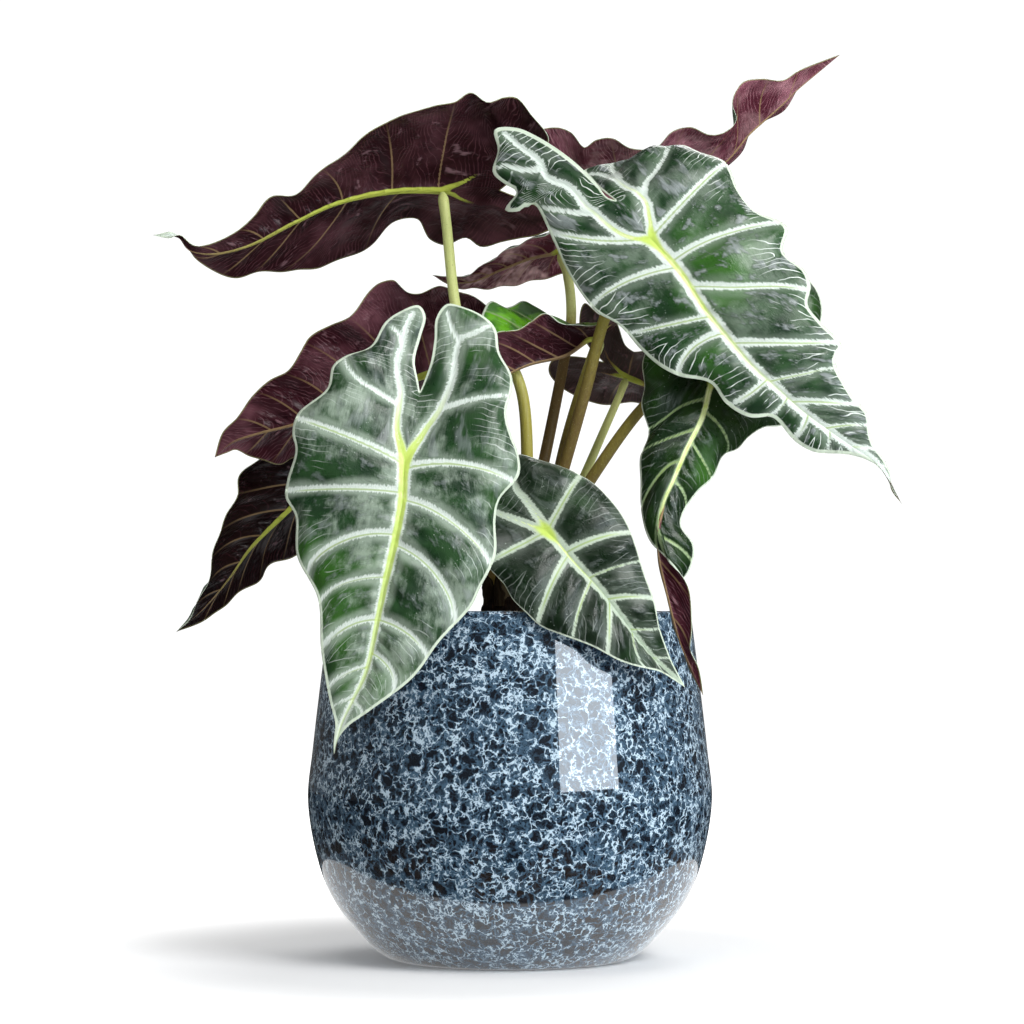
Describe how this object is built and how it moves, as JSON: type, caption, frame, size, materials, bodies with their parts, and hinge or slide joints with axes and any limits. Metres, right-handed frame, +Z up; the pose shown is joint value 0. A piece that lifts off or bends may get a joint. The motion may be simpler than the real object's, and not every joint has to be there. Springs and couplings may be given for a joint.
{
  "type": "potted alocasia polly",
  "caption": "House plant with large arrow-shaped pale-veined leaves, green above and dark purple beneath, on long leafstalks in a round glazed pot of soil.",
  "frame": {"origin": "centre of the flat foot of the pot, on the surface it stands on", "axes": "+Z up along the pot's axis, -Y towards the front as pictured, +X to the right seen from the front"},
  "size_m": [0.4353, 0.2645, 0.5504],
  "materials": {
    "pot_glaze": "glossy reactive glaze, dark blue with a fine pale blue net",
    "potting_soil": "loose fibrous potting soil, matte",
    "crown": "dry brown sheaths round the foot of the leafstalks, matte",
    "leafstalk": "smooth leafstalk, brown at the foot and yellow-green at the top, satin",
    "leaf_blade": "glossy dark green above with pale veins, dark purple beneath"
  },
  "bodies": {
    "root": {"pot": "pot_glaze", "soil": "potting_soil", "crown": "crown", "leafstalk_front_left": "leafstalk", "blade_front_left": "leaf_blade", "leafstalk_right_high": "leafstalk", "blade_right_high": "leaf_blade", "leafstalk_front_centre": "leafstalk", "blade_front_centre": "leaf_blade", "leafstalk_right_low": "leafstalk", "blade_right_low": "leaf_blade", "leafstalk_left_high": "leafstalk", "blade_left_high": "leaf_blade", "leafstalk_right_back": "leafstalk", "blade_right_back": "leaf_blade", "leafstalk_back_small": "leafstalk", "blade_back_small": "leaf_blade", "leafstalk_centre_folded": "leafstalk", "blade_centre_folded": "leaf_blade", "leafstalk_right_behind": "leafstalk", "blade_right_behind": "leaf_blade", "leafstalk_left_middle": "leafstalk", "blade_left_middle": "leaf_blade", "leafstalk_left_low": "leafstalk", "blade_left_low": "leaf_blade"}
  },
  "joints": []
}
